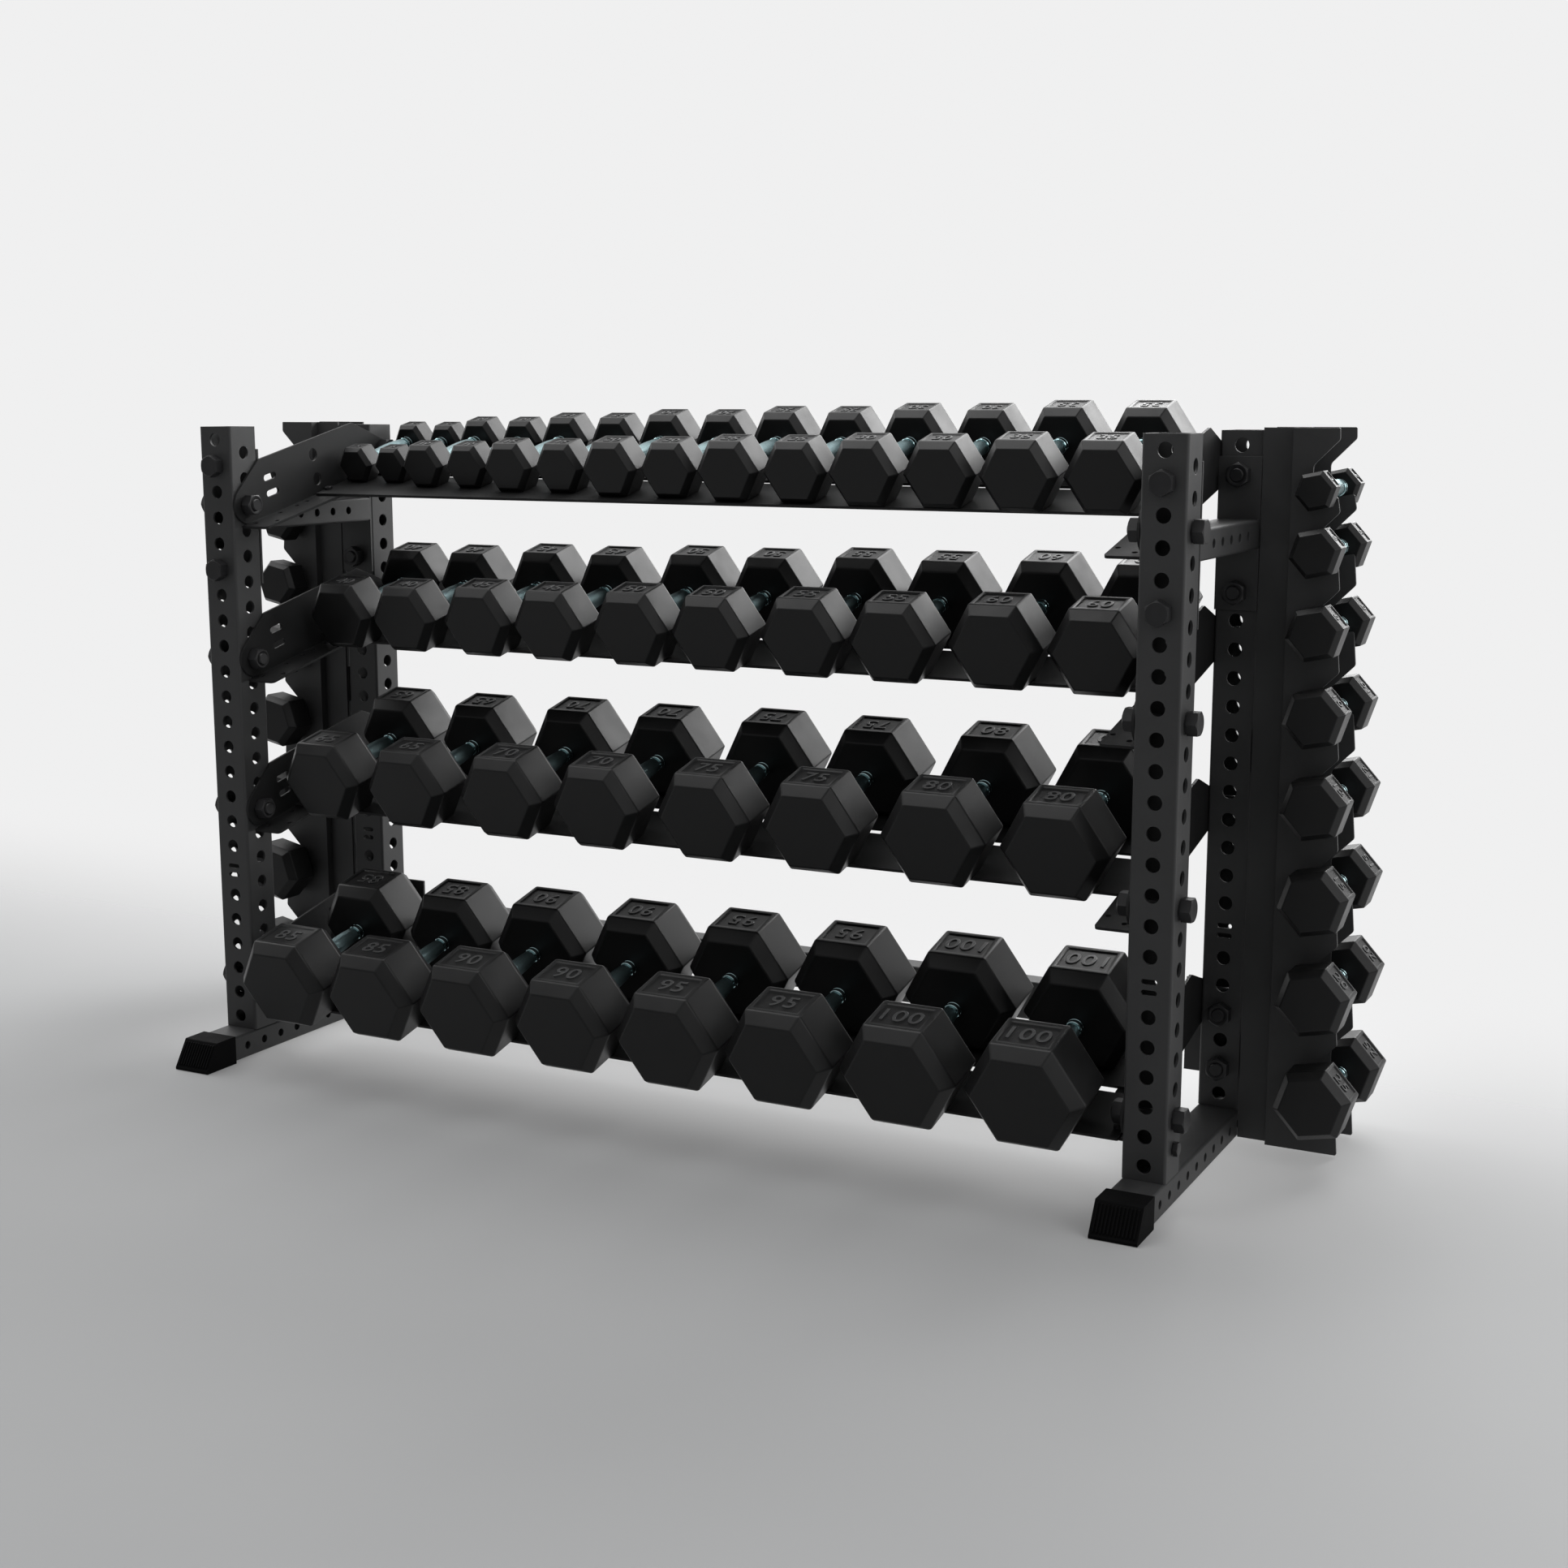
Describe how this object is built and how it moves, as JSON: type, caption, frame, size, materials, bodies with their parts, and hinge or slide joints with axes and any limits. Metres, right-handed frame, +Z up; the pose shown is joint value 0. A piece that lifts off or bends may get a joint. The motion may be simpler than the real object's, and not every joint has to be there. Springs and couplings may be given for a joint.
{
  "type": "dumbbell rack",
  "caption": "Wide free-standing dumbbell rack with four sloping shelf tiers, toothed side holders and bolted square-tube side frames, shown loaded with hexagonal dumbbells.",
  "frame": {"origin": "on the floor, midway between the four uprights", "axes": "+X to the right along the shelves, +Y from the front to the back, +Z up"},
  "size_m": [2.4512, 0.808, 1.3248],
  "materials": {
    "black_steel": "matt black textured powder coat",
    "bolt_steel": "black oxide, satin",
    "rubber_cap": "moulded black rubber with fine ribs",
    "coated_iron": "black rubber coat over cast iron"
  },
  "bodies": {
    "frame": {"upright_front_left": "black_steel", "upright_front_right": "black_steel", "upright_rear_left": "black_steel", "upright_rear_right": "black_steel", "foot_left": "black_steel", "foot_right": "black_steel", "foot_caps": "rubber_cap", "crossmember_left": "black_steel", "crossmember_right": "black_steel", "rear_beam": "black_steel", "tier_1_bracket_left": "black_steel", "tier_1_bracket_right": "black_steel", "tier_1_rail_front": "black_steel", "tier_1_rail_rear": "black_steel", "tier_2_bracket_left": "black_steel", "tier_2_bracket_right": "black_steel", "tier_2_rail_front": "black_steel", "tier_2_rail_rear": "black_steel", "tier_3_bracket_left": "black_steel", "tier_3_bracket_right": "black_steel", "tier_3_rail_front": "black_steel", "tier_3_rail_rear": "black_steel", "tier_4_bracket_left": "black_steel", "tier_4_bracket_right": "black_steel", "tier_4_rail_front": "black_steel", "tier_4_rail_rear": "black_steel", "holder_left_front_plate": "black_steel", "holder_left_rear_plate": "black_steel", "holder_left_mounts": "black_steel", "holder_right_front_plate": "black_steel", "holder_right_rear_plate": "black_steel", "holder_right_mounts": "black_steel", "tier_bolts": "bolt_steel", "crossmember_bolts": "bolt_steel", "rear_beam_bolts": "bolt_steel", "rail_bolts": "bolt_steel", "holder_bolts": "bolt_steel", "foot_bolts": "bolt_steel"},
    "dumbbells_005": {"dumbbells_005": "coated_iron"},
    "dumbbells_010": {"dumbbells_010": "coated_iron"},
    "dumbbells_015": {"dumbbells_015": "coated_iron"},
    "dumbbells_020": {"dumbbells_020": "coated_iron"},
    "dumbbells_025": {"dumbbells_025": "coated_iron"},
    "dumbbells_030": {"dumbbells_030": "coated_iron"},
    "dumbbells_035": {"dumbbells_035": "coated_iron"},
    "dumbbells_040": {"dumbbells_040": "coated_iron"},
    "dumbbells_045": {"dumbbells_045": "coated_iron"},
    "dumbbells_050": {"dumbbells_050": "coated_iron"},
    "dumbbells_055": {"dumbbells_055": "coated_iron"},
    "dumbbells_060": {"dumbbells_060": "coated_iron"},
    "dumbbells_065": {"dumbbells_065": "coated_iron"},
    "dumbbells_070": {"dumbbells_070": "coated_iron"},
    "dumbbells_075": {"dumbbells_075": "coated_iron"},
    "dumbbells_080": {"dumbbells_080": "coated_iron"},
    "dumbbells_085": {"dumbbells_085": "coated_iron"},
    "dumbbells_090": {"dumbbells_090": "coated_iron"},
    "dumbbells_095": {"dumbbells_095": "coated_iron"},
    "dumbbells_100": {"dumbbells_100": "coated_iron"},
    "holder_left_dumbbells": {"holder_left_dumbbells": "coated_iron"},
    "holder_right_dumbbells": {"holder_right_dumbbells": "coated_iron"}
  },
  "joints": [
    {"name": "lift_dumbbells_005", "type": "slide", "parent": "frame", "child": "dumbbells_005", "axis": [0, -0.5, 0.866], "range_m": [0, 0.25]},
    {"name": "lift_dumbbells_010", "type": "slide", "parent": "frame", "child": "dumbbells_010", "axis": [0, -0.5, 0.866], "range_m": [0, 0.25]},
    {"name": "lift_dumbbells_015", "type": "slide", "parent": "frame", "child": "dumbbells_015", "axis": [0, -0.5, 0.866], "range_m": [0, 0.25]},
    {"name": "lift_dumbbells_020", "type": "slide", "parent": "frame", "child": "dumbbells_020", "axis": [0, -0.5, 0.866], "range_m": [0, 0.25]},
    {"name": "lift_dumbbells_025", "type": "slide", "parent": "frame", "child": "dumbbells_025", "axis": [0, -0.5, 0.866], "range_m": [0, 0.25]},
    {"name": "lift_dumbbells_030", "type": "slide", "parent": "frame", "child": "dumbbells_030", "axis": [0, -0.5, 0.866], "range_m": [0, 0.25]},
    {"name": "lift_dumbbells_035", "type": "slide", "parent": "frame", "child": "dumbbells_035", "axis": [0, -0.5, 0.866], "range_m": [0, 0.25]},
    {"name": "lift_dumbbells_040", "type": "slide", "parent": "frame", "child": "dumbbells_040", "axis": [0, -0.9848, 0.1736], "range_m": [0, 0.25]},
    {"name": "lift_dumbbells_045", "type": "slide", "parent": "frame", "child": "dumbbells_045", "axis": [0, -0.9848, 0.1736], "range_m": [0, 0.25]},
    {"name": "lift_dumbbells_050", "type": "slide", "parent": "frame", "child": "dumbbells_050", "axis": [0, -0.9848, 0.1736], "range_m": [0, 0.25]},
    {"name": "lift_dumbbells_055", "type": "slide", "parent": "frame", "child": "dumbbells_055", "axis": [0, -0.9848, 0.1736], "range_m": [0, 0.25]},
    {"name": "lift_dumbbells_060", "type": "slide", "parent": "frame", "child": "dumbbells_060", "axis": [0, -0.9848, 0.1736], "range_m": [0, 0.25]},
    {"name": "lift_dumbbells_065", "type": "slide", "parent": "frame", "child": "dumbbells_065", "axis": [0, -0.9848, 0.1736], "range_m": [0, 0.25]},
    {"name": "lift_dumbbells_070", "type": "slide", "parent": "frame", "child": "dumbbells_070", "axis": [0, -0.9848, 0.1736], "range_m": [0, 0.25]},
    {"name": "lift_dumbbells_075", "type": "slide", "parent": "frame", "child": "dumbbells_075", "axis": [0, -0.9848, 0.1736], "range_m": [0, 0.25]},
    {"name": "lift_dumbbells_080", "type": "slide", "parent": "frame", "child": "dumbbells_080", "axis": [0, -0.9848, 0.1736], "range_m": [0, 0.25]},
    {"name": "lift_dumbbells_085", "type": "slide", "parent": "frame", "child": "dumbbells_085", "axis": [0, -0.9848, 0.1736], "range_m": [0, 0.25]},
    {"name": "lift_dumbbells_090", "type": "slide", "parent": "frame", "child": "dumbbells_090", "axis": [0, -0.9848, 0.1736], "range_m": [0, 0.25]},
    {"name": "lift_dumbbells_095", "type": "slide", "parent": "frame", "child": "dumbbells_095", "axis": [0, -0.9848, 0.1736], "range_m": [0, 0.25]},
    {"name": "lift_dumbbells_100", "type": "slide", "parent": "frame", "child": "dumbbells_100", "axis": [0, -0.9848, 0.1736], "range_m": [0, 0.25]},
    {"name": "lift_holder_left", "type": "slide", "parent": "frame", "child": "holder_left_dumbbells", "axis": [-0.866, 0, 0.5], "range_m": [0, 0.12]},
    {"name": "lift_holder_right", "type": "slide", "parent": "frame", "child": "holder_right_dumbbells", "axis": [0.866, 0, 0.5], "range_m": [0, 0.12]}
  ]
}
